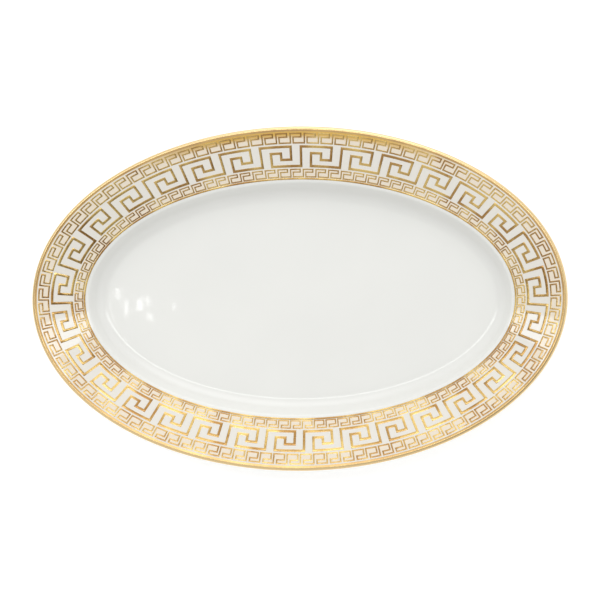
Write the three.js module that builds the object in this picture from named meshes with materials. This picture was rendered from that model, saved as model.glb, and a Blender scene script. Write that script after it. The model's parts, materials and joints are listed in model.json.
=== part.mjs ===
// China serving platter: a glazed oval dish with a gilt lip and three gilt Greek key borders on its rim.
// Millimetres, +Z up. The origin is the centre of the plane that the foot ring rests on,
// the long axis of the oval lies along X and the short axis along Y.

import * as THREE from 'three';

// ---- Driving dimensions ----

const LENGTH = 340; // along X, over the gilt lip
const WIDTH = 217; // along Y, over the gilt lip
const HEIGHT = 28; // from the resting plane to the top of the gilt lip

const GILT_THICKNESS = 0.25;
const GILT_GAP = 0.1; // clearance that keeps the gilding off the facets of the china

const LIP_RADIUS = 1.5; // the lip is a half round, twice this thick
const RIM_SLOPE = THREE.MathUtils.degToRad(15.5); // the rim's upper face, falling towards the well
const UNDER_SLOPE = THREE.MathUtils.degToRad(18); // its lower face, so the rim thickens inwards

// Depths are measured inwards from the outline of the gilt lip, along the short axis.
const WELL_EDGE_DEPTH = 34; // where the rim turns down into the well
const WALL_SLOPE = THREE.MathUtils.degToRad(58); // of the well's wall, which is short
const EDGE_RADIUS = 2.5; // of the round from the rim into the wall
const COVE_RADIUS = 10; // of the hollow that eases the wall into the floor
const UNDER_EDGE_DEPTH = 30; // where the lower face turns down towards the foot ring
const FLOOR_TOP = 9;
const BASE_UNDERSIDE = 3.8; // the base inside the foot ring, clear of the table
const FOOT_OUTER_DEPTH = 49.5;
const FOOT_WIDTH = 3.2; // of the flat resting face
const FOOT_DRAFT = 0.9; // how far each side of the foot ring leans
const CENTRE_CLEARANCE = 2.5; // between the foot ring and the part where the oval's stretch fades out
const BELLY = { outwards: 10, upwards: 0.2 }; // pulls the underside out from the foot ring
const SHOULDER = 5; // pulls it in from the rim, along the rim's own slope

const LIP_BAND_DEPTH = 3.4;
const LIP_BAND_UNDER_ANGLE = THREE.MathUtils.degToRad(-60); // where the gilding stops under the lip
const INNER_LINE = { from: 31.95, to: 33.05 };

// The key borders, between the middles of their outermost strokes.
const MAIN_KEY = { from: 12.65, to: 24.7, stroke: 1.6, repeats: 32, start: 0.0001 };
const OUTER_SMALL_KEY = { from: 4.5, to: 10.4, stroke: 0.95, repeats: 96, start: 0.0028 };
const INNER_SMALL_KEY = { from: 26.7, to: 31.3, stroke: 0.8, repeats: 96, start: 0.0017 };
// A start is where the first upright stands, as a share of one turn from 12 o'clock.

const SPACING_DEPTH = 8.9; // the repeats are spaced along the rim's outline at this depth
const DRIFT = { once: 5.5, twice: 1.1 }; // how far the prints stray from even spacing, once and twice a turn
const LEAN = 0.5; // uprights stand half way between the outline's normal and its radius

const SEGMENTS = 96; // round the oval

// ---- Materials ----

const glazedChina = new THREE.MeshStandardMaterial({ color: 0xf3f2ee, roughness: 0.12, metalness: 0 });
const burnishedGold = new THREE.MeshStandardMaterial({ color: 0xd8ab52, roughness: 0.3, metalness: 1 });
const printedGold = new THREE.MeshStandardMaterial({ color: 0xa8742c, roughness: 0.4, metalness: 1 });

// ---- The oval: every ring of the platter keeps the same depth on both axes ----

const STRETCH = (LENGTH - WIDTH) / 2;
const FLAT_REACH = WIDTH / 2 - FOOT_OUTER_DEPTH - FOOT_WIDTH - CENTRE_CLEARANCE;
const LIP_CENTRE = new THREE.Vector2(
  reach(GILT_THICKNESS + GILT_GAP + LIP_RADIUS),
  HEIGHT - GILT_THICKNESS - GILT_GAP - LIP_RADIUS,
);

const UPPER_TANGENT = Math.PI / 2 + RIM_SLOPE; // where the half-round lip runs into the rim's two faces
const LOWER_TANGENT = UNDER_SLOPE - Math.PI / 2;

// How far a ring at this depth lies from the axis, on the short side of the oval.
function reach(depth) {
  return WIDTH / 2 - depth;
}

// The height of the rim's straight upper face.
function rimHeight(depth) {
  const inwards = LIP_CENTRE.x - reach(depth);
  return LIP_CENTRE.y + LIP_RADIUS / Math.cos(RIM_SLOPE) - inwards * Math.tan(RIM_SLOPE);
}

// The height of the rim's straight lower face.
function underHeight(depth) {
  const inwards = LIP_CENTRE.x - reach(depth);
  return LIP_CENTRE.y - LIP_RADIUS / Math.cos(UNDER_SLOPE) - inwards * Math.tan(UNDER_SLOPE);
}

// Turns a profile of (reach, height) points about the axis, then stretches the round dish into the oval.
// Inside the foot ring everything is flat, so there the stretch fades out towards the axis.
function ovalDish(profile) {
  const geometry = new THREE.LatheGeometry(profile, SEGMENTS).rotateX(Math.PI / 2);
  const position = geometry.attributes.position;
  for (let i = 0; i < position.count; i += 1) {
    const x = position.getX(i);
    const radius = Math.hypot(x, position.getY(i));
    const stretch = STRETCH * Math.min(1, radius / FLAT_REACH);
    position.setX(i, radius > 0 ? (x * (radius + stretch)) / radius : 0);
  }
  return geometry;
}

// Points round the lip, from its underside through its outermost and highest points to the rim's upper face.
function lipArc(radius, lowestAngle) {
  const angles = [lowestAngle, lowestAngle / 2, 0, Math.PI / 4, Math.PI / 2, UPPER_TANGENT];
  return angles.map((angle) => new THREE.Vector2(
    LIP_CENTRE.x + radius * Math.cos(angle),
    LIP_CENTRE.y + radius * Math.sin(angle),
  ));
}

// ---- china_body: floor, well, rim, lip and foot ring, fired as one piece of clay ----

function footRing() {
  const inner = reach(FOOT_OUTER_DEPTH + FOOT_WIDTH);
  const outer = reach(FOOT_OUTER_DEPTH);
  return [
    new THREE.Vector2(inner - FOOT_DRAFT, BASE_UNDERSIDE),
    new THREE.Vector2(inner, 0),
    new THREE.Vector2(outer, 0),
  ];
}

function underCurve() {
  const foot = new THREE.Vector2(reach(FOOT_OUTER_DEPTH) + FOOT_DRAFT, BASE_UNDERSIDE);
  const bellyControl = new THREE.Vector2(foot.x + BELLY.outwards, foot.y + BELLY.upwards);
  const rimControl = new THREE.Vector2(
    reach(UNDER_EDGE_DEPTH + SHOULDER),
    underHeight(UNDER_EDGE_DEPTH + SHOULDER),
  );
  const rim = new THREE.Vector2(reach(UNDER_EDGE_DEPTH), underHeight(UNDER_EDGE_DEPTH));
  return new THREE.CubicBezierCurve(foot, bellyControl, rimControl, rim).getPoints(4);
}

// From the rim over a round edge, down the straight wall and through a cove to the floor.
function wellCurve() {
  const edgeCentre = new THREE.Vector2(
    reach(WELL_EDGE_DEPTH) + EDGE_RADIUS * Math.sin(RIM_SLOPE),
    rimHeight(WELL_EDGE_DEPTH) - EDGE_RADIUS * Math.cos(RIM_SLOPE),
  );
  const edge = tiltedArc(edgeCentre, -EDGE_RADIUS, RIM_SLOPE, WALL_SLOPE, 2);
  const wallTop = edge.at(-1);
  const wallDrop = wallTop.y - FLOOR_TOP - COVE_RADIUS * (1 - Math.cos(WALL_SLOPE));
  const coveCentre = new THREE.Vector2(
    wallTop.x - wallDrop / Math.tan(WALL_SLOPE) - COVE_RADIUS * Math.sin(WALL_SLOPE),
    FLOOR_TOP + COVE_RADIUS,
  );
  return [...edge, ...tiltedArc(coveCentre, COVE_RADIUS, WALL_SLOPE, 0, 3)];
}

// An arc of a surface that faces up and tilts inwards, from one tilt to another. A hollow has a positive
// radius and its centre above it, and a round has a negative radius and its centre below it.
function tiltedArc(centre, radius, startTilt, endTilt, steps) {
  return Array.from({ length: steps + 1 }, (_, i) => {
    const tilt = THREE.MathUtils.lerp(startTilt, endTilt, i / steps);
    return new THREE.Vector2(centre.x + radius * Math.sin(tilt), centre.y - radius * Math.cos(tilt));
  });
}

function chinaBody() {
  return ovalDish([
    new THREE.Vector2(0, BASE_UNDERSIDE),
    ...footRing(),
    ...underCurve(),
    ...lipArc(LIP_RADIUS, LOWER_TANGENT),
    ...wellCurve(),
    new THREE.Vector2(0, FLOOR_TOP),
  ]);
}

// ---- Gilding ----

// The band that wraps the lip: a thin C in section, from the rim's upper face round to the underside.
function goldLipBand() {
  const inside = LIP_RADIUS + GILT_GAP;
  const outside = inside + GILT_THICKNESS;
  const onRim = (lift) => new THREE.Vector2(
    reach(LIP_BAND_DEPTH),
    rimHeight(LIP_BAND_DEPTH) + lift / Math.cos(RIM_SLOPE),
  );
  const profile = [
    onRim(GILT_GAP),
    ...lipArc(inside, LIP_BAND_UNDER_ANGLE).reverse(),
    ...lipArc(outside, LIP_BAND_UNDER_ANGLE),
    onRim(GILT_GAP + GILT_THICKNESS),
  ];
  return ovalDish([...profile, profile[0]]);
}

// A plain flat band of gilding round the rim.
function rimBand({ from, to }) {
  const corner = (depth, lift) => new THREE.Vector2(reach(depth), rimHeight(depth) + lift);
  const top = GILT_GAP + GILT_THICKNESS;
  return ovalDish([
    corner(to, GILT_GAP),
    corner(from, GILT_GAP),
    corner(from, top),
    corner(to, top),
    corner(to, GILT_GAP),
  ]);
}

// ---- The key borders: one endless stroke each, which turns on a grid, repeat after repeat ----

// The corners of one repeat as (across, up). Across is 0 to 1 of the repeat, clockwise from above, and up is
// 0 on the side of the well and 1 on the side of the lip. The next repeat starts where across reaches 1.
// The main key's grid has four columns and three rows, and a point wherever a long stroke crosses a column.
const MAIN_CORNERS = [
  [0, 0], [0, 3], [1, 3], [2, 3], [3, 3], [3, 1],
  [2, 1], [2, 2], [1, 2], [1, 0], [2, 0], [3, 0],
].map(([column, row]) => [column / 4, row / 3]);
const SMALL_CORNERS = [[0, 0], [0, 1], [0.75, 1], [0.75, 0.625], [0.2, 0.625], [0.2, 0]];

// The outline that the repeats are spaced along, run clockwise from 12 o'clock.
const TOP_OF_OVAL = Math.PI / 2;
const FULL_TURN = 2 * Math.PI;
const spacingLine = new THREE.EllipseCurve(
  0,
  0,
  LENGTH / 2 - SPACING_DEPTH,
  WIDTH / 2 - SPACING_DEPTH,
  TOP_OF_OVAL,
  TOP_OF_OVAL - FULL_TURN,
  true,
);
spacingLine.arcLengthDivisions = 2000;

// The prints were floated on by hand, so they run ahead of even spacing at the upper right of the oval and
// fall behind it at the lower left. Both are shares of one turn.
function strayed(turn) {
  const turned = FULL_TURN * turn;
  const ahead = DRIFT.once * Math.cos(turned - FULL_TURN / 8) - DRIFT.twice * Math.cos(2 * turned);
  return THREE.MathUtils.euclideanModulo(turn + ahead / spacingLine.getLength(), 1);
}

// A point over the rim's upper face: a share of one turn round, this deep, moved along the border.
function rimPoint(turn, depth, along, lift) {
  const a = LENGTH / 2 - depth;
  const b = WIDTH / 2 - depth;
  const spaced = TOP_OF_OVAL - FULL_TURN * spacingLine.getUtoTmapping(strayed(turn));
  const lean = (LEAN * STRETCH * Math.sin(spaced) * Math.cos(spaced) * (depth - SPACING_DEPTH))
    / ((a * Math.sin(spaced)) ** 2 + (b * Math.cos(spaced)) ** 2);
  const upright = spaced - lean;
  const angle = upright - along / Math.hypot(a * Math.sin(upright), b * Math.cos(upright));
  return new THREE.Vector3(a * Math.cos(angle), b * Math.sin(angle), rimHeight(depth) + lift);
}

// The way from one corner to the next, as -1, 0 or 1 along each axis, across the border's closing seam too.
function heading(from, to, repeats) {
  const across = to[0] - from[0];
  return [Math.sign(across - repeats * Math.round(across / repeats)), Math.sign(to[1] - from[1])];
}

// The stroke's square section at one corner of its path, mitred where the stroke turns.
function strokeSection(key, path, index) {
  const here = path[index];
  const arriving = heading(path.at(index - 1), here, key.repeats);
  const leaving = heading(here, path[(index + 1) % path.length], key.repeats);
  const turns = arriving[0] !== leaving[0];
  const alongSide = turns ? arriving[1] + leaving[1] : arriving[1];
  const outwardSide = turns ? arriving[0] + leaving[0] : arriving[0];
  const turn = key.start + here[0] / key.repeats;
  const depth = key.to - (key.to - key.from) * here[1];
  const half = key.stroke / 2;
  const edge = (side, lift) => rimPoint(turn, depth - side * outwardSide, -side * alongSide, lift);
  const top = GILT_GAP + GILT_THICKNESS;
  return [edge(-half, GILT_GAP), edge(half, GILT_GAP), edge(half, top), edge(-half, top)];
}

// Joins sections of four corners each into one closed, endless bar.
function endlessBar(sections) {
  const sides = 4;
  const index = [];
  sections.forEach((_, i) => {
    const next = (i + 1) % sections.length;
    for (let side = 0; side < sides; side += 1) {
      const a = i * sides + side;
      const b = i * sides + ((side + 1) % sides);
      const c = next * sides + side;
      const d = next * sides + ((side + 1) % sides);
      index.push(a, b, d, a, d, c);
    }
  });
  const geometry = new THREE.BufferGeometry().setFromPoints(sections.flat());
  geometry.setIndex(index);
  geometry.computeVertexNormals();
  return geometry;
}

function keyBorder(key, corners) {
  const path = [];
  for (let repeat = 0; repeat < key.repeats; repeat += 1) {
    corners.forEach(([across, up]) => path.push([repeat + across, up]));
  }
  return endlessBar(path.map((_, index) => strokeSection(key, path, index)));
}

// ---- The assembly ----

const platter = new THREE.Group();

function addPiece(name, geometry, material) {
  const mesh = new THREE.Mesh(geometry, material);
  mesh.name = name;
  platter.add(mesh);
}

addPiece('china_body', chinaBody(), glazedChina);
addPiece('gold_lip_band', goldLipBand(), burnishedGold);
addPiece('outer_small_key_border', keyBorder(OUTER_SMALL_KEY, SMALL_CORNERS), printedGold);
addPiece('main_key_border', keyBorder(MAIN_KEY, MAIN_CORNERS), printedGold);
addPiece('inner_small_key_border', keyBorder(INNER_SMALL_KEY, SMALL_CORNERS), printedGold);
addPiece('inner_gold_line', rimBand(INNER_LINE), printedGold);

export default platter;
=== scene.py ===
# %% [markdown]
# # A gilded oval platter
#
# This lesson builds a china serving platter: one piece of white clay under a clear glaze, with gold fired
# on top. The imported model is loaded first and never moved. It fixes how long, wide and tall the platter
# is, and every finer piece made here stands in for one of its nodes.

# %% Load the fixed frame
import json
import math

import bmesh
import bpy
import numpy as np
from mathutils import Matrix, Vector


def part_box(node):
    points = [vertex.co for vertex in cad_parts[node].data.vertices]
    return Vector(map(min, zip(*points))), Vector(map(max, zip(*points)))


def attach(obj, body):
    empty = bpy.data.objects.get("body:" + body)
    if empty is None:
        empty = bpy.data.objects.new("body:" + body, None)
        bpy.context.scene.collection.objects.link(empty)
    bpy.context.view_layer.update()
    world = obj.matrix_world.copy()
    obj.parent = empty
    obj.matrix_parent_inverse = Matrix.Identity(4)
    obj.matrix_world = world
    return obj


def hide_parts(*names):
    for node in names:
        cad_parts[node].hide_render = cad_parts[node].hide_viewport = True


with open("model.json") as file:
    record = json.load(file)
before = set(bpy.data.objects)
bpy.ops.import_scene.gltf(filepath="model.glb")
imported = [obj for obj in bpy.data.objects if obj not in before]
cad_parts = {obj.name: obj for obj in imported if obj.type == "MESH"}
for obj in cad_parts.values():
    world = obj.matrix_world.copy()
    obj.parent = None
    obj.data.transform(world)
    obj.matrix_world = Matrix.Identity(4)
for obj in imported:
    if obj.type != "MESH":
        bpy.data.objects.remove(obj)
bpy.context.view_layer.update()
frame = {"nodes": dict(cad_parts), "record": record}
print("nodes:", sorted(frame["nodes"]))

# %% [markdown]
# ## The measures everything follows
#
# A platter is drawn as a section that is carried round an oval. Here every ring of the dish lies at the
# same "depth" inwards from the outline, on its long side and its short side alike. So a point of the
# section is a depth and a height, and one function turns a depth into the two half widths of a ring.

# %% Read the overall sizes and write down the section's own
MM = 0.001

_, lip_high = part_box("gold_lip_band")
HALF_LENGTH = lip_high.x
HALF_WIDTH = lip_high.y
TOP = lip_high.z
GILT_CLEARANCE = 0.35 * MM
LIP_RADIUS = 1.5 * MM
RIM_SLOPE = math.radians(15.5)
UNDER_SLOPE = math.radians(18)
RINGS_AROUND = 288

mounts = {mount["name"]: mount["pos_m"] for mount in frame["record"]["mounts"]}
WELL_EDGE = 34.0 * MM
WALL_SLOPE = math.radians(58)
EDGE_RADIUS = 2.5 * MM
COVE_RADIUS = 10.0 * MM
FLOOR_TOP = mounts["well_floor"][2]
FLOOR_SAG = 0.25 * MM

BASE_UNDERSIDE = 3.8 * MM
UNDER_EDGE = 30.0 * MM
FOOT_WIDTH = 3.2 * MM
FOOT_OUTER = HALF_WIDTH - mounts["foot_ring_face"][1] - FOOT_WIDTH / 2
FOOT_DRAFT = 0.9 * MM
FOOT_ROUND = 0.5 * MM

LIP_DEPTH = GILT_CLEARANCE + LIP_RADIUS
LIP_HEIGHT = TOP - GILT_CLEARANCE - LIP_RADIUS


def half_sizes(depth):
    """The half length and half width of the ring at this depth."""
    return HALF_LENGTH - depth, HALF_WIDTH - depth


def rim_height(depth):
    """The height of the rim's straight upper face."""
    return LIP_HEIGHT + LIP_RADIUS / math.cos(RIM_SLOPE) - (depth - LIP_DEPTH) * math.tan(RIM_SLOPE)


def under_height(depth):
    """The height of the rim's straight lower face."""
    return LIP_HEIGHT - LIP_RADIUS / math.cos(UNDER_SLOPE) - (depth - LIP_DEPTH) * math.tan(UNDER_SLOPE)


print(f"platter {2000 * HALF_LENGTH:.0f} x {2000 * HALF_WIDTH:.0f} x {1000 * TOP:.0f} mm")

# %% [markdown]
# ## The camera
#
# Product pictures of plates are taken from almost straight above with a long lens, which keeps the oval
# true. This camera leans a few degrees to the right, so the left rim looks a touch wider than the right
# one.

# %% Place the camera
CAMERA_LENS = 143.1
CAMERA_DISTANCE = 1.5
NEAR_AND_FAR = (0.05, 20)
LEAN_RIGHT = math.radians(7.6)
LEAN_DOWN = math.radians(1.8)
AIM = Vector((2.5 * MM, -1.1 * MM, LIP_HEIGHT))

camera_data = bpy.data.cameras.new("camera")
camera_data.lens = CAMERA_LENS
camera_data.clip_start, camera_data.clip_end = NEAR_AND_FAR
camera = bpy.data.objects.new("camera", camera_data)
bpy.context.scene.collection.objects.link(camera)
turn = Matrix.Rotation(LEAN_RIGHT, 4, "Y") @ Matrix.Rotation(LEAN_DOWN, 4, "X")
camera.matrix_world = Matrix.Translation(AIM) @ turn @ Matrix.Translation((0, 0, CAMERA_DISTANCE))
bpy.context.scene.camera = camera
print("camera at", tuple(round(x, 3) for x in camera.matrix_world.translation))

# %% [markdown]
# ## Tools for raising an oval dish ring by ring
#
# A round dish could be spun from its section, but an oval one can't: its ends curve more tightly than its
# sides. So a circle is stretched into the first ring, then extruded, resized and lifted to each following
# ring, just as one would do by hand in edit mode. A closed band is finished by bridging its last ring to
# its first.

# %% Helpers for selecting, and for walking a ring through a section


def deselect_all():
    """Leaves nothing selected, so that an operator acts only on what is picked next."""
    if bpy.context.mode != "OBJECT":
        bpy.ops.object.mode_set(mode="OBJECT")
    bpy.ops.object.select_all(action="DESELECT")


def move_ring(before, after):
    """Resizes and lifts the selected ring from one (half length, half width, height) to another."""
    share = (after[0] / before[0], after[1] / before[1], 1)
    bpy.ops.transform.resize(value=share, center_override=(0, 0, 0))
    bpy.ops.transform.translate(value=(0, 0, after[2] - before[2]))


def walk_rings(name, rings, closed):
    """Makes a mesh by carrying an oval through a list of rings; closed joins the last ring to the first."""
    deselect_all()
    bpy.ops.mesh.primitive_circle_add(vertices=RINGS_AROUND, radius=1)
    piece = bpy.context.active_object
    piece.name = name
    bpy.ops.object.mode_set(mode="EDIT")
    move_ring((1, 1, 0), rings[0])
    if not closed:
        bpy.ops.mesh.edge_face_add()
    for before, after in zip(rings, rings[1:]):
        bpy.ops.mesh.extrude_edges_move()
        move_ring(before, after)
    if closed:
        bpy.ops.mesh.select_all(action="DESELECT")
        bpy.ops.mesh.select_non_manifold()
        bpy.ops.mesh.bridge_edge_loops()
    else:
        bpy.ops.mesh.edge_face_add()
    bpy.ops.mesh.select_all(action="SELECT")
    bpy.ops.mesh.normals_make_consistent(inside=False)
    bpy.ops.object.mode_set(mode="OBJECT")
    bpy.ops.object.shade_smooth()
    print(name, len(piece.data.vertices), "points,", len(piece.data.polygons), "faces")
    return piece


def ring_at(depth, height):
    """One ring of the section, from a depth and a height."""
    half_length, half_width = half_sizes(depth)
    return half_length, half_width, height


def arc(centre_depth, centre_height, radius, start, end, steps):
    """Rings round a circular stretch of the section; angles run from outwards, turning up."""
    rings = []
    for i in range(steps + 1):
        angle = math.radians(start + (end - start) * i / steps)
        depth = centre_depth - radius * math.cos(angle)
        rings.append(ring_at(depth, centre_height + radius * math.sin(angle)))
    return rings

# %% [markdown]
# ## The china itself
#
# The platter is pressed from one sheet of clay, so its section is one unbroken line: the base, the foot
# ring that it stands on, the underside, the rounded lip, the sloping rim, the wall of the well and the
# floor. Straight stretches need few rings and tight curves need many, and the floor sags by a hair in its
# middle, as fired floors do.

# %% Work out the section, from under the middle round to the top of the middle
FOOT_INNER = FOOT_OUTER + FOOT_WIDTH
FILLET = 0.8 * MM
BELLY = 9.0 * MM
SHOULDER = 5.0 * MM
BASE_SHARES = (0.2, 0.6)
FLOOR_SHARES = (0.985, 0.95, 0.85, 0.7, 0.5, 0.3, 0.15)
UNDER_DEPTHS = [d * MM for d in (24, 18, 12, 6)]
RIM_DEPTHS = [d * MM for d in (6, 10, 14, 18, 22, 26, 30)]


def flat_rings(edge_depth, height, shares, sag=0.0):
    """Rings of a nearly flat stretch, each a share of the ring at its edge; sag lowers the middle."""
    half_length, half_width = half_sizes(edge_depth)
    return [(half_length * s, half_width * s, height - sag * (1 - s * s)) for s in shares]


def tilted_arc(centre_depth, centre_height, radius, start_tilt, end_tilt, steps):
    """Rings of an upper stretch that tilts inwards; a hollow has a positive radius, a round a negative."""
    rings = []
    for i in range(steps + 1):
        tilt = start_tilt + (end_tilt - start_tilt) * i / steps
        depth = centre_depth - radius * math.sin(tilt)
        rings.append(ring_at(depth, centre_height - radius * math.cos(tilt)))
    return rings


def sweep(points, steps):
    """Rings along a cubic curve with four (depth, height) control points, leaving out its first point."""
    rings = []
    for i in range(1, steps + 1):
        t = i / steps
        weights = ((1 - t) ** 3, 3 * t * (1 - t) ** 2, 3 * t * t * (1 - t), t**3)
        depth = sum(w * p[0] for w, p in zip(weights, points))
        height = sum(w * p[1] for w, p in zip(weights, points))
        rings.append(ring_at(depth, height))
    return rings


def foot_rings():
    """The foot ring, from the base inside it to the underside outside it, with small fillets and rounds."""
    inside = arc(FOOT_INNER + FOOT_DRAFT + FILLET, BASE_UNDERSIDE - FILLET, FILLET, 90, 0, 4)
    inner_round = arc(FOOT_INNER - FOOT_ROUND, FOOT_ROUND, FOOT_ROUND, 180, 270, 4)
    outer_round = arc(FOOT_OUTER + FOOT_ROUND, FOOT_ROUND, FOOT_ROUND, 270, 360, 4)
    outside = arc(FOOT_OUTER - FOOT_DRAFT - FILLET, BASE_UNDERSIDE - FILLET, FILLET, 180, 90, 4)
    return inside + inner_round + outer_round + outside


def under_rings():
    """The underside, from the foot ring out to the lip."""
    start = (FOOT_OUTER - FOOT_DRAFT - FILLET, BASE_UNDERSIDE)
    belly = (start[0] - BELLY, start[1])
    shoulder = (UNDER_EDGE + SHOULDER, under_height(UNDER_EDGE + SHOULDER))
    rim = (UNDER_EDGE, under_height(UNDER_EDGE))
    straight = [ring_at(depth, under_height(depth)) for depth in UNDER_DEPTHS]
    return sweep([start, belly, shoulder, rim], 16) + straight


def well_rings():
    """From the rim's edge over a round, down the wall and through a cove to the floor."""
    edge_depth = WELL_EDGE - EDGE_RADIUS * math.sin(RIM_SLOPE)
    edge_height = rim_height(WELL_EDGE) - EDGE_RADIUS * math.cos(RIM_SLOPE)
    edge = tilted_arc(edge_depth, edge_height, -EDGE_RADIUS, RIM_SLOPE, WALL_SLOPE, 8)
    wall_top = (HALF_WIDTH - edge[-1][1], edge[-1][2])
    wall_drop = wall_top[1] - FLOOR_TOP - COVE_RADIUS * (1 - math.cos(WALL_SLOPE))
    cove_depth = wall_top[0] + wall_drop / math.tan(WALL_SLOPE) + COVE_RADIUS * math.sin(WALL_SLOPE)
    cove = tilted_arc(cove_depth, FLOOR_TOP + COVE_RADIUS, COVE_RADIUS, WALL_SLOPE, 0, 14)
    return edge + cove + flat_rings(cove_depth, FLOOR_TOP, FLOOR_SHARES, FLOOR_SAG)


base = flat_rings(FOOT_INNER + FOOT_DRAFT + FILLET, BASE_UNDERSIDE, BASE_SHARES)
lip_start = math.degrees(UNDER_SLOPE) - 90
lip_end = 90 + math.degrees(RIM_SLOPE)
lip = arc(LIP_DEPTH, LIP_HEIGHT, LIP_RADIUS, lip_start, lip_end, 14)
rim = [ring_at(depth, rim_height(depth)) for depth in RIM_DEPTHS]
section = base + foot_rings() + under_rings() + lip + rim + well_rings()
print("rings in the china's section:", len(section))

# %% Raise the china
china = walk_rings("glazed_china", section, closed=False)

# %% [markdown]
# ## The gilt lip
#
# The lip carries a broad band of bright gold that wraps over the edge. Laid on thickly it stands a little
# proud, so its section is a low bead: round over the outer edge, then falling to the rim on its inner
# side. That inner shoulder is what catches a darker line. The band is sunk a hair into the china, so no
# gap shows under it.

# %% Raise the lip band
BEAD_RADIUS = LIP_RADIUS + GILT_CLEARANCE
BEAD_INNER_EDGE = 3.4 * MM
BEAD_UNDER_ANGLE = -60
BEAD_TOP_ANGLE = 97
SHOULDER_REACH = 0.45 * MM
SHOULDER_FALL = 0.06 * MM
SHOULDER_RISE = 0.30 * MM
EDGE_SUNK = 0.05 * MM
TUCK = 0.2 * MM
SUNK = 0.15 * MM

bead_over = arc(LIP_DEPTH, LIP_HEIGHT, BEAD_RADIUS, BEAD_UNDER_ANGLE, BEAD_TOP_ANGLE, 16)
bead_top = (HALF_WIDTH - bead_over[-1][1], bead_over[-1][2])
shoulder_end = (BEAD_INNER_EDGE, rim_height(BEAD_INNER_EDGE) - EDGE_SUNK)
shoulder = [
    bead_top,
    (bead_top[0] + SHOULDER_REACH, bead_top[1] - SHOULDER_FALL),
    (BEAD_INNER_EDGE - SHOULDER_REACH, shoulder_end[1] + SHOULDER_RISE),
    shoulder_end,
]
sunk_rim = [ring_at(BEAD_INNER_EDGE - TUCK, rim_height(BEAD_INNER_EDGE) - SUNK)]
sunk_lip = arc(LIP_DEPTH, LIP_HEIGHT, LIP_RADIUS - SUNK, 90, BEAD_UNDER_ANGLE, 10)
gilt_lip = walk_rings("gilt_lip", bead_over + sweep(shoulder, 8) + sunk_rim + sunk_lip, closed=True)

# %% [markdown]
# ## The line at the edge of the well
#
# A painter turns the dish on a wheel and holds a fine brush still to draw this line. It is a low,
# flat-topped ridge.

# %% Draw the line
LINE_FROM = 31.95 * MM
LINE_TO = 33.05 * MM
PRINT_HEIGHT = 0.12 * MM
PRINT_SUNK = 0.05 * MM
PRINT_EDGE = 0.06 * MM


def over_rim(depth, lift):
    """A ring at this depth, lifted off the rim."""
    return ring_at(depth, rim_height(depth) + lift)


line_section = [
    over_rim(LINE_FROM, -PRINT_SUNK),
    over_rim(LINE_FROM, PRINT_HEIGHT - PRINT_EDGE),
    over_rim(LINE_FROM + PRINT_EDGE, PRINT_HEIGHT),
    over_rim(LINE_TO - PRINT_EDGE, PRINT_HEIGHT),
    over_rim(LINE_TO, PRINT_HEIGHT - PRINT_EDGE),
    over_rim(LINE_TO, -PRINT_SUNK),
]
well_line = walk_rings("well_edge_line", line_section, closed=True)

# %% [markdown]
# ## The three key borders
#
# Each border is one endless stroke that turns at right angles. One repeat is drawn flat: a small square
# is added, and each leg is pulled out of the last square's side by extruding its edge. An array repeats
# it into a strip. The strip is then laid round the rim, like the transfer print that a decorator floats
# onto the glaze. Repeats are nearly evenly spaced along one line of the rim. A print is eased on by hand,
# so they run a few millimetres ahead on the upper right and fall behind on the lower left. The uprights
# stand half way between square-on and radial.

# %% Helpers: where a point of the flat strip lands on the rim
SPACING_DEPTH = 8.9 * MM
SPACING_STEPS = 7200
DRIFT_ONCE = 5.5 * MM
DRIFT_TWICE = 1.1 * MM
DRIFT_PEAK = math.pi / 4
LEAN = 0.5
STRETCH = HALF_LENGTH - HALF_WIDTH

spacing_a, spacing_b = half_sizes(SPACING_DEPTH)
angles = np.linspace(math.pi / 2, -1.5 * math.pi, SPACING_STEPS + 1)
steps_along = np.hypot(spacing_a * np.diff(np.cos(angles)), spacing_b * np.diff(np.sin(angles)))
lengths = np.concatenate([[0], np.cumsum(steps_along)])
SPACING_LENGTH = float(lengths[-1])
print(f"the spacing line is {1000 * SPACING_LENGTH:.1f} mm round")


def speed(angle, depth):
    """How far a point on this ring moves as the oval's angle grows by one radian."""
    a, b = half_sizes(depth)
    return math.hypot(a * math.sin(angle), b * math.cos(angle))


def rim_point(turn, depth, along):
    """The point a share of one turn clockwise from 12 o'clock, this deep, moved along the border."""
    turned = 2 * math.pi * turn
    drift = DRIFT_ONCE * math.cos(turned - DRIFT_PEAK) - DRIFT_TWICE * math.cos(2 * turned)
    spaced = float(np.interp((turn * SPACING_LENGTH + drift) % SPACING_LENGTH, lengths, angles))
    a, b = half_sizes(depth)
    lean = LEAN * STRETCH * math.sin(spaced) * math.cos(spaced) * (depth - SPACING_DEPTH)
    upright = spaced - lean / speed(spaced, depth) ** 2
    angle = upright - along / speed(upright, depth)
    return Vector((a * math.cos(angle), b * math.sin(angle), rim_height(depth)))


# %% Helpers: draw one repeat flat, and apply a modifier


def pick_edge(piece, middle):
    """Selects just the edge whose middle is nearest to this point."""
    mesh = bmesh.from_edit_mesh(piece.data)
    for edge in mesh.edges:
        edge.select_set(False)
    nearest = min(mesh.edges, key=lambda e: ((e.verts[0].co + e.verts[1].co) / 2 - middle).length)
    nearest.select_set(True)
    bmesh.update_edit_mesh(piece.data)


def pull_edge(way):
    """Extrudes the selected edge by a vector, and leaves the new edge selected."""
    bpy.ops.mesh.extrude_edges_move(TRANSFORM_OT_translate={"value": tuple(way)})


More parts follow.
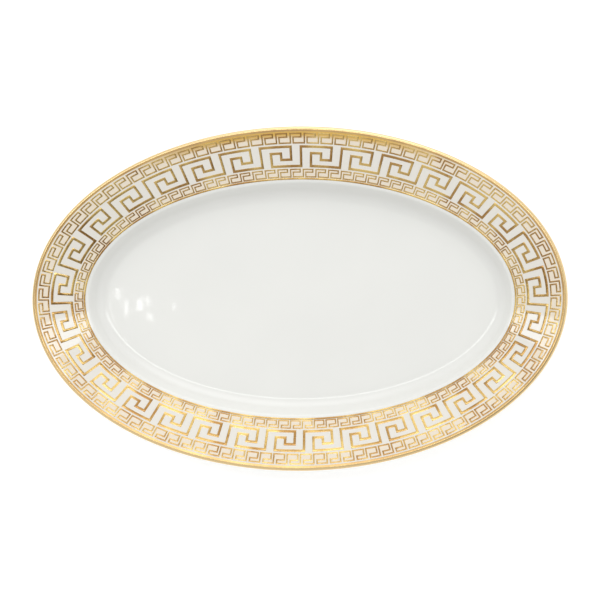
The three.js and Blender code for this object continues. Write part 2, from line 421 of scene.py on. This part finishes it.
def draw_repeat(name, corners, width, longest):
    """Draws a flat stroke through its corners from the origin, in pieces no longer than a length."""
    deselect_all()
    bpy.ops.mesh.primitive_plane_add(size=width)
    piece = bpy.context.active_object
    piece.name = name
    bpy.ops.object.mode_set(mode="EDIT")
    bpy.ops.mesh.select_mode(type="EDGE")
    for i in range(len(corners) - 1):
        here = Vector((*corners[i], 0))
        leg = Vector((*corners[i + 1], 0)) - here
        way = leg.normalized()
        pick_edge(piece, here + way * width / 2)
        clear = leg.length - width
        count = math.ceil(clear / longest)
        for _ in range(count):
            pull_edge(way * clear / count)
        if i < len(corners) - 2:
            pull_edge(way * width)
    bpy.ops.object.mode_set(mode="OBJECT")
    return piece


def apply_modifier(piece, kind, **settings):
    """Adds a modifier with these settings and applies it."""
    modifier = piece.modifiers.new(kind.lower(), kind)
    for setting, value in settings.items():
        setattr(modifier, setting, value)
    bpy.context.view_layer.objects.active = piece
    bpy.ops.object.modifier_apply(modifier=modifier.name)


# %% Helpers: lay the strip on the rim and give it body
MERGE_WITHIN = 0.02 * MM
SMOOTH_BELOW = math.radians(50)
UPRIGHT_REACH = 0.6  # a point within this many strokes of an upright's middle belongs to that upright


def lay_on_rim(piece, key, uprights, pitch):
    """Moves each point of the flat strip to the rim; a stroke keeps its width at every depth."""
    for vertex in piece.data.vertices:
        repeat, across = divmod(vertex.co.x + key["stroke"], pitch)
        across -= key["stroke"]
        nearest = min(uprights, key=lambda u: abs(across - u))
        beside = across - nearest if abs(across - nearest) < UPRIGHT_REACH * key["stroke"] else 0.0
        turn = key["start"] + (repeat * pitch + across - beside) / SPACING_LENGTH
        vertex.co = rim_point(turn, key["to"] - vertex.co.y, beside)


def print_key(name, key, corners):
    """Makes one key border: a repeat, the strip, the laid strip, then its thickness and soft edges."""
    pitch = SPACING_LENGTH / key["repeats"]
    height = key["to"] - key["from"]
    flat = [(across * pitch, up * height) for across, up in corners]
    piece = draw_repeat(name, flat + [(pitch, 0)], key["stroke"], key["longest"])
    apply_modifier(
        piece,
        "ARRAY",
        count=key["repeats"],
        use_relative_offset=False,
        use_constant_offset=True,
        constant_offset_displace=(pitch, 0, 0),
        use_merge_vertices=True,
        merge_threshold=MERGE_WITHIN,
    )
    lay_on_rim(piece, key, sorted({x for x, _ in flat}) + [pitch], pitch)
    bpy.ops.object.mode_set(mode="EDIT")
    bpy.ops.mesh.select_all(action="SELECT")
    bpy.ops.mesh.remove_doubles(threshold=MERGE_WITHIN)
    bpy.ops.mesh.normals_make_consistent(inside=False)
    bpy.ops.object.mode_set(mode="OBJECT")
    thickness = PRINT_HEIGHT + PRINT_SUNK
    apply_modifier(piece, "SOLIDIFY", thickness=thickness, offset=2 * PRINT_HEIGHT / thickness - 1)
    apply_modifier(piece, "BEVEL", width=PRINT_EDGE, segments=2, limit_method="ANGLE")
    deselect_all()
    piece.select_set(True)
    bpy.ops.object.shade_smooth_by_angle(angle=SMOOTH_BELOW)
    print(name, len(piece.data.vertices), "points,", len(piece.data.polygons), "faces")
    return piece


# %% Print the broad key and the two narrow ones
MAIN_KEY = {
    "from": 12.65 * MM,
    "to": 24.7 * MM,
    "stroke": 1.6 * MM,
    "repeats": 32,
    "start": 0.0001,
    "longest": 2.2 * MM,
}
OUTER_SMALL_KEY = {
    "from": 4.5 * MM,
    "to": 10.4 * MM,
    "stroke": 0.95 * MM,
    "repeats": 96,
    "start": 0.0028,
    "longest": 2.2 * MM,
}
INNER_SMALL_KEY = OUTER_SMALL_KEY | {
    "from": 26.7 * MM,
    "to": 31.3 * MM,
    "stroke": 0.8 * MM,
    "start": 0.0017,
}

MAIN_GRID = [(0, 0), (0, 3), (3, 3), (3, 1), (2, 1), (2, 2), (1, 2), (1, 0)]
MAIN_CORNERS = [(column / 4, row / 3) for column, row in MAIN_GRID]
SMALL_CORNERS = [(0, 0), (0, 1), (0.75, 1), (0.75, 0.625), (0.2, 0.625), (0.2, 0)]

main_key = print_key("main_key_print", MAIN_KEY, MAIN_CORNERS)
outer_key = print_key("outer_small_key_print", OUTER_SMALL_KEY, SMALL_CORNERS)
inner_key = print_key("inner_small_key_print", INNER_SMALL_KEY, SMALL_CORNERS)

# %% [markdown]
# ## Which way the brush went
#
# Gold is brushed or printed round the dish, so its faint streaks run along the border. Plain object
# coordinates know nothing of that. Each gilt piece gets a small attribute instead: a point that moves
# slowly round the oval and quickly across it. A noise read at that point is drawn out into streaks that
# follow the rim and meet without a seam. A second attribute holds how deep a point lies, so that a finish
# can change across the rim.

# %% Helpers: store the brush direction and the depth
SLOW_ROUND = 5.0 * MM
SHALLOWEST = -5.0 * MM
DEEPEST = 60.0 * MM
HALVINGS = 30


def depth_of(x, y):
    """The depth of many points at once, by halving the interval that it lies in."""
    low = np.full(len(x), SHALLOWEST)
    high = np.full(len(x), DEEPEST)
    for _ in range(HALVINGS):
        middle = (low + high) / 2
        outside = (x / (HALF_LENGTH - middle)) ** 2 + (y / (HALF_WIDTH - middle)) ** 2 > 1
        high = np.where(outside, middle, high)
        low = np.where(outside, low, middle)
    return (low + high) / 2


def store_brush(piece):
    """Writes the attribute that streaks are read from."""
    points = np.zeros(3 * len(piece.data.vertices))
    piece.data.vertices.foreach_get("co", points)
    x, y, z = points.reshape(-1, 3).T
    depth = depth_of(x, y)
    angle = np.arctan2(y / (HALF_WIDTH - depth), x / (HALF_LENGTH - depth))
    brush = np.stack([SLOW_ROUND * np.cos(angle), SLOW_ROUND * np.sin(angle), depth + z], axis=1)
    attribute = piece.data.attributes.new("brush", "FLOAT_VECTOR", "POINT")
    attribute.data.foreach_set("vector", brush.astype(np.float32).ravel())


def store_depth(piece):
    """Writes how deep each point lies, as a value below nought on the underside."""
    points = np.zeros(3 * len(piece.data.vertices))
    normals = np.zeros(3 * len(piece.data.vertices))
    piece.data.vertices.foreach_get("co", points)
    piece.data.vertices.foreach_get("normal", normals)
    depth = depth_of(*points.reshape(-1, 3).T[:2]) * np.sign(normals[2::3])
    attribute = piece.data.attributes.new("rim_depth", "FLOAT", "POINT")
    attribute.data.foreach_set("value", depth.astype(np.float32))


# %% Store them
gilt_pieces = (gilt_lip, well_line, main_key, outer_key, inner_key)
for piece in gilt_pieces:
    store_brush(piece)
for piece in (china, gilt_lip):
    store_depth(piece)
print("streaks follow the rim on", len(gilt_pieces), "pieces")

# %% [markdown]
# ## Gold, fired onto the glaze
#
# Both golds share one effect: faint brush streaks along the border, tiny flecks, and wide patches where
# the gold lies thicker or thinner. It is built once as a node group that gives out a tone, a roughness
# and a height. The burnished lip is bright, with a polished skin made by a clear coat, and its outer edge
# is painted paler as a painted highlight. The printed keys are a deeper, browner gold with a duller surface
# and less of that skin.

# %% Helpers for building node trees


def add_node(tree, kind, values=None, **settings):
    """Adds a node, sets its properties, and sets or links its inputs by name or number."""
    node = tree.nodes.new(kind)
    for setting, value in settings.items():
        setattr(node, setting, value)
    for socket, value in (values or {}).items():
        if isinstance(value, bpy.types.NodeSocket):
            tree.links.new(value, node.inputs[socket])
        else:
            node.inputs[socket].default_value = value
    return node


def blend_colours(tree, factor, first, second):
    """A colour between two, by a mask."""
    mix = add_node(tree, "ShaderNodeMix", data_type="RGBA")
    tree.links.new(factor, mix.inputs[0])
    for socket, value in ((mix.inputs[6], first), (mix.inputs[7], second)):
        if isinstance(value, bpy.types.NodeSocket):
            tree.links.new(value, socket)
        else:
            socket.default_value = (*value, 1)
    return mix.outputs[2]


def between(tree, value, low, high, low_out, high_out):
    """Maps a value from one range to another, clamped."""
    ranges = {0: value, 1: low, 2: high, 3: low_out, 4: high_out}
    return add_node(tree, "ShaderNodeMapRange", ranges).outputs[0]


def maths(tree, operation, *values):
    """One operation on two or three values."""
    return add_node(tree, "ShaderNodeMath", dict(enumerate(values)), operation=operation).outputs[0]


def times(tree, first, second):
    """The product of two values."""
    return maths(tree, "MULTIPLY", first, second)


def noise(tree, place, scale, detail):
    """A noise read at a place."""
    values = {"Vector": place, "Scale": scale, "Detail": detail}
    return add_node(tree, "ShaderNodeTexNoise", values).outputs[0]


def bump(tree, height, distance, strength=1.0, normal=None):
    """A normal bent by a height, over another normal where one is given."""
    values = {"Height": height, "Distance": distance, "Strength": strength}
    if normal is not None:
        values["Normal"] = normal
    return add_node(tree, "ShaderNodeBump", values).outputs["Normal"]


def stored(tree, name, output):
    """An attribute of the piece."""
    return add_node(tree, "ShaderNodeAttribute", attribute_name=name).outputs[output]


def object_place(tree):
    """Where a point lies on the piece."""
    return add_node(tree, "ShaderNodeTexCoord").outputs["Object"]


def start_material(name):
    """A new material with an empty node tree."""
    material = bpy.data.materials.new(name)
    material.use_nodes = True
    material.node_tree.nodes.clear()
    return material, material.node_tree


def finish_material(tree, shader):
    """Sends a shader to the material's output."""
    output = add_node(tree, "ShaderNodeOutputMaterial")
    tree.links.new(shader.outputs[0], output.inputs[0])


# %% The shared effect of fired gold
STREAK_SCALE = 1500
FLECK_SCALE = 900
PATCH_SCALE = 60
FINE_SHARE = 0.12
TONE_RANGE = (0.5, 0.74)
DULL_RANGE = (0.3, 0.7)
DULLEST = 0.06


def fired_gold_group():
    """Brush, Place and Polish go in, and Tone, Roughness and Height come out."""
    group = bpy.data.node_groups.new("fired_gold", "ShaderNodeTree")
    face = group.interface
    for name, kind in (("Brush", "Vector"), ("Place", "Vector"), ("Polish", "Float")):
        face.new_socket(name, in_out="INPUT", socket_type="NodeSocket" + kind)
    for name in ("Tone", "Roughness", "Height"):
        face.new_socket(name, in_out="OUTPUT", socket_type="NodeSocketFloat")
    inputs = group.nodes.new("NodeGroupInput").outputs
    streaks = noise(group, inputs["Brush"], STREAK_SCALE, 3)
    flecks = noise(group, inputs["Place"], FLECK_SCALE, 2)
    patches = noise(group, inputs["Place"], PATCH_SCALE, 2)
    fine = maths(group, "ADD", streaks, flecks)
    mottled = maths(group, "MULTIPLY_ADD", fine, FINE_SHARE, patches)
    dullness = between(group, flecks, *DULL_RANGE, 0, DULLEST)
    outputs = group.nodes.new("NodeGroupOutput").inputs
    group.links.new(between(group, mottled, *TONE_RANGE, 0, 1), outputs["Tone"])
    group.links.new(maths(group, "ADD", inputs["Polish"], dullness), outputs["Roughness"])
    group.links.new(fine, outputs["Height"])
    return group


FIRED_GOLD = fired_gold_group()
print("fired gold group:", len(FIRED_GOLD.nodes), "nodes")

# %% Mix the two golds
# The lip's outer edge is painted paler as a painted highlight: full out to the first depth, gone by the
# second.
HIGHLIGHT_FULL_DEPTH = 1.2 * MM
HIGHLIGHT_GONE_DEPTH = 2.3 * MM
SKIN_ROUGHNESS = 0.15
SKIN_IOR = 1.9
BURNISHED = {
    "deep": (0.52, 0.30, 0.07),
    "light": (0.64, 0.40, 0.11),
    # The paler colour below is a painted highlight on the lip's outer edge.
    "rubbed": (0.75, 0.55, 0.25),
    "polish": 0.20,
    "relief": 0.0003 * MM,
    "skin": 1.0,
}
PRINTED = {
    "deep": (0.35, 0.18, 0.036),
    "light": (0.66, 0.465, 0.15),
    "rubbed": None,
    "polish": 0.24,
    "relief": 0.002 * MM,
    "skin": 0.4,
}


def gold(name, deep, light, rubbed, polish, relief, skin):
    """A gold whose colour runs between two tones, and to a paler painted highlight at the outer edge of the
    lip.
    """
    material, tree = start_material(name)
    values = {"Brush": stored(tree, "brush", "Vector"), "Place": object_place(tree), "Polish": polish}
    effect = add_node(tree, "ShaderNodeGroup", values, node_tree=FIRED_GOLD).outputs
    colour = blend_colours(tree, effect["Tone"], deep, light)
    if rubbed:
        # Paint the outer edge of the lip paler: a painted highlight.
        edge = between(tree, stored(tree, "rim_depth", "Fac"), HIGHLIGHT_FULL_DEPTH, HIGHLIGHT_GONE_DEPTH, 1, 0)
        colour = blend_colours(tree, edge, colour, rubbed)
    shader = add_node(
        tree,
        "ShaderNodeBsdfPrincipled",
        {
            "Base Color": colour,
            "Metallic": 1.0,
            "Roughness": effect["Roughness"],
            "Coat Weight": skin,
            "Coat Roughness": SKIN_ROUGHNESS,
            "Coat IOR": SKIN_IOR,
            "Normal": bump(tree, effect["Height"], relief),
        },
    )
    finish_material(tree, shader)
    return material


burnished_gold = gold("burnished_gold", **BURNISHED)
printed_gold = gold("printed_gold", **PRINTED)
print("golds:", burnished_gold.name, printed_gold.name)

# %% [markdown]
# ## White china under a clear glaze
#
# The white is never one flat colour: it clouds very slightly, and the glaze on it lies in soft waves that
# bend every reflection. The rim is a little warmer, and the two narrow borders stand on cream. At the
# back of the platter the colour turns to metallic gold from the lip inwards and fades out over the outer
# border; this is a mask in this finish and not a piece. The body has a dull base with a clear coat,
# which gives the deep wet shine. The glaze is wiped off the edge that stands in the kiln, so the bottom
# of the foot ring is bare, matt and a little darker.

# %% Choose the china's colours, and where each one lies
WHITE = (0.825, 0.828, 0.794)
CLOUD = (0.81, 0.813, 0.781)
RIM_WHITE = (0.79, 0.762, 0.70)
CREAM = (0.82, 0.73, 0.60)
# The metallic gold colour that the back of the rim turns to, from the lip inwards.
BACK_GOLD = (0.76, 0.47, 0.10)
BARE_CLAY = (0.66, 0.63, 0.58)
BARE_GRAIN = (0.72, 0.70, 0.66)

BAND_SOFTNESS = 0.15 * MM
RIM_FROM = 3.0 * MM
CREAM_MARGIN = 0.4 * MM
# The back of the rim turns gold out to this depth, fading over the last stretch, for Y within this range.
BACK_GOLD_DEPTH = 8.0 * MM
BACK_GOLD_FADE = 2.6 * MM
BACK_GOLD_Y_RANGE = (80 * MM, 99 * MM)
BARE_HEIGHTS = (0.25 * MM, 0.45 * MM)


def depth_band(tree, depth, low, high):
    """A mask that is 1 between two depths on the upper side."""
    enters = between(tree, depth, low - BAND_SOFTNESS, low + BAND_SOFTNESS, 0, 1)
    leaves = between(tree, depth, high - BAND_SOFTNESS, high + BAND_SOFTNESS, 1, 0)
    return times(tree, enters, leaves)


def tinted_rim(tree, depth, white):
    """The white, made warmer on the rim and cream under the narrow borders."""
    white = blend_colours(tree, depth_band(tree, depth, RIM_FROM, LINE_TO), white, RIM_WHITE)
    for key in (OUTER_SMALL_KEY, INNER_SMALL_KEY):
        ground = depth_band(tree, depth, key["from"] - CREAM_MARGIN, key["to"] + CREAM_MARGIN)
        white = blend_colours(tree, ground, white, CREAM)
    return white


def back_gold_mask(tree, depth, towards_back):
    """A mask that turns the rim metallic gold from the lip inwards at the back of the platter, fading out."""
    back = between(tree, towards_back, *BACK_GOLD_Y_RANGE, 0, 1)
    thickness = between(tree, depth, BACK_GOLD_DEPTH - BACK_GOLD_FADE, BACK_GOLD_DEPTH, 1, 0)
    inside = times(tree, thickness, depth_band(tree, depth, RIM_FROM, BACK_GOLD_DEPTH))
    return times(tree, back, inside)


# %% Make the glazed china
CLOUD_SCALE = 18
CLOUD_RANGE = (0.35, 0.65)
WAVE_SCALE = 55
WAVE_HEIGHT = 0.012 * MM
GRAIN_SCALE = 1800
GRAIN_HEIGHT = 0.08 * MM
BODY_ROUGHNESS = 0.30
BARE_ROUGHNESS = 0.80
BODY_SHINE = 0.1
GLAZE_ROUGHNESS = 0.03
GLAZE_IOR = 1.5


def glazed_china():
    """The china's material."""
    material, tree = start_material("glazed_china")
    place = object_place(tree)
    depth = stored(tree, "rim_depth", "Fac")
    across = add_node(tree, "ShaderNodeSeparateXYZ", {0: place}).outputs
    clouds = between(tree, noise(tree, place, CLOUD_SCALE, 3), *CLOUD_RANGE, 0, 1)
    grain = noise(tree, place, GRAIN_SCALE, 4)
    bare = between(tree, across["Z"], *BARE_HEIGHTS, 1, 0)
    # Mask of the metallic gold colour at the back of the rim.
    back_gold = back_gold_mask(tree, depth, across["Y"])
    white = tinted_rim(tree, depth, blend_colours(tree, clouds, WHITE, CLOUD))
    glazed = blend_colours(tree, back_gold, white, BACK_GOLD)
    bare_clay = blend_colours(tree, grain, BARE_CLAY, BARE_GRAIN)
    waves = bump(tree, noise(tree, place, WAVE_SCALE, 1), WAVE_HEIGHT)
    shader = add_node(
        tree,
        "ShaderNodeBsdfPrincipled",
        {
            "Base Color": blend_colours(tree, bare, glazed, bare_clay),
            "Metallic": back_gold,
            "Roughness": between(tree, bare, 0, 1, BODY_ROUGHNESS, BARE_ROUGHNESS),
            "Coat Weight": between(tree, bare, 0, 1, 1, 0),
            "Coat Roughness": GLAZE_ROUGHNESS,
            "IOR": GLAZE_IOR,
            "Specular IOR Level": BODY_SHINE,
            "Normal": bump(tree, grain, GRAIN_HEIGHT, bare, waves),
            "Coat Normal": waves,
        },
    )
    finish_material(tree, shader)
    return material


white_china = glazed_china()
print("china:", white_china.name, "with", len(white_china.node_tree.nodes), "nodes")

# %% [markdown]
# ## Put it together
#
# Every piece gets its finish, rides on the platter's one body, and stands in for its node of the packed
# model.

# %% Assign, ride and replace
PIECES = [
    (china, "china_body", "china", white_china),
    (gilt_lip, "gold_lip_band", "burnished_gold", burnished_gold),
    (outer_key, "outer_small_key_border", "printed_gold", printed_gold),
    (main_key, "main_key_border", "printed_gold", printed_gold),
    (inner_key, "inner_small_key_border", "printed_gold", printed_gold),
    (well_line, "inner_gold_line", "printed_gold", printed_gold),
]
for piece, node, slot, material in PIECES:
    piece.data.materials.clear()
    piece.data.materials.append(material)
    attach(piece, "root")
    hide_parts(node)
    print(piece.name, "stands in for", node)

# %% [markdown]
# ## The table and the light
#
# The platter lies on a light table: a white sheet that glows faintly from below, so that it reads as
# white and the shadow on it stays thin. Light comes from all round, a little more from behind. A few dark
# screens and one bright panel give the gold something to mirror. A long lamp overhead draws the bright
# line along the front of the floor, and six tiny bulbs leave the sparks on the left of the well.

# %% Lay the light table
TABLE_SIZE = 6.0
TABLE_GLOW = 0.28
TABLE_ROUGHNESS = 0.9
TABLE_WHITE = (0.93, 0.93, 0.93)
TABLE_CLOUD = (0.95, 0.95, 0.95)
TABLE_CLOUD_SCALE = 3

deselect_all()
bpy.ops.mesh.primitive_grid_add(x_subdivisions=2, y_subdivisions=2, size=TABLE_SIZE)
table = bpy.context.active_object
table.name = "table"
table_paint, table_tree = start_material("light_table")
table_clouds = noise(table_tree, object_place(table_tree), TABLE_CLOUD_SCALE, 2)
table_shader = add_node(
    table_tree,
    "ShaderNodeBsdfPrincipled",
    {
        "Base Color": blend_colours(table_tree, table_clouds, TABLE_WHITE, TABLE_CLOUD),
        "Roughness": TABLE_ROUGHNESS,
        "Emission Color": (1, 1, 1, 1),
        "Emission Strength": TABLE_GLOW,
    },
)
finish_material(table_tree, table_shader)
table.data.materials.append(table_paint)
print("table", TABLE_SIZE, "m wide")

# %% Light the room: bright all round, darker at the horizon, with dark screens and a bright panel
ROOM_LIGHT = 0.96
HORIZON = 0.85
HORIZON_BAND = (0.02, 0.2)
BRIGHT_SIDE = (0.5, 1, 0)
SIDE_TILT = 0.13
# Each has a direction, the angles in degrees at which it ends and is full, and its share of the room's light.
SCREENS = [
    ((0.34, -0.36, 0.87), 26, 12, 0.35),
    ((-0.60, 0.06, 0.80), 18, 8, 0.35),
    ((0.33, 0.33, 0.88), 16, 6, 0.45),
    ((0.42, 0.02, 0.90), 16, 6, 0.6),
    ((0, 0.82, 0.57), 26, 8, 2.2),
]


def dot_with(tree, vector, way):
    """How far a direction points along another, as a cosine."""
    values = {0: vector, 1: Vector(way).normalized()}
    return add_node(tree, "ShaderNodeVectorMath", values, operation="DOT_PRODUCT").outputs["Value"]


def make_room():
    """The world's light, as a brightness for each direction."""
    world = bpy.data.worlds.new("studio")
    world.use_nodes = True
    tree = world.node_tree
    way = add_node(tree, "ShaderNodeTexCoord").outputs["Generated"]
    level = between(tree, dot_with(tree, way, BRIGHT_SIDE), -1, 1, 1 - SIDE_TILT, 1 + SIDE_TILT)
    up = dot_with(tree, way, (0, 0, 1))
    level = times(tree, level, between(tree, up, *HORIZON_BAND, HORIZON, 1))
    for place, outside, inside, share in SCREENS:
        cosines = [math.cos(math.radians(angle)) for angle in (outside, inside)]
        level = times(tree, level, between(tree, dot_with(tree, way, place), *cosines, 1, share))
    background = tree.nodes["Background"]
    background.inputs["Color"].default_value = (1, 1, 1, 1)
    tree.links.new(times(tree, level, ROOM_LIGHT), background.inputs["Strength"])
    bpy.context.scene.world = world


make_room()
print("screens and panels:", len(SCREENS))

# %% Hang the lamps
OVERHEAD_BAR = {"place": (-0.17, 0.27, 1.3), "size": (1.2, 0.18), "brightness": 3.6}
BULB_HEIGHT = 1.2
BULB_BRIGHTNESS = 10.0
# Each bulb has a place and a size, both along X and along Y.
BULBS = [
    ((-0.336, 0.033), (0.005, 0.009)),
    ((-0.327, 0.037), (0.003, 0.005)),
    ((-0.325, 0.022), (0.004, 0.004)),
    ((-0.298, 0.032), (0.002, 0.004)),
    ((-0.352, 0.031), (0.0025, 0.012)),
    ((-0.361, 0.044), (0.0025, 0.010)),
]


def hang_lamp(name, place, size, brightness):
    """A rectangular lamp that hangs level and shines down; its size is along X and along Y."""
    data = bpy.data.lights.new(name, "AREA")
    data.shape = "RECTANGLE"
    data.size, data.size_y = size
    data.energy = brightness * math.pi * size[0] * size[1]
    light = bpy.data.objects.new(name, data)
    light.location = place
    bpy.context.scene.collection.objects.link(light)


hang_lamp("overhead_bar", **OVERHEAD_BAR)
for number, (place, size) in enumerate(BULBS):
    hang_lamp(f"bulb_{number}", (*place, BULB_HEIGHT), size, BULB_BRIGHTNESS)
bpy.context.scene.view_settings.view_transform = "Standard"
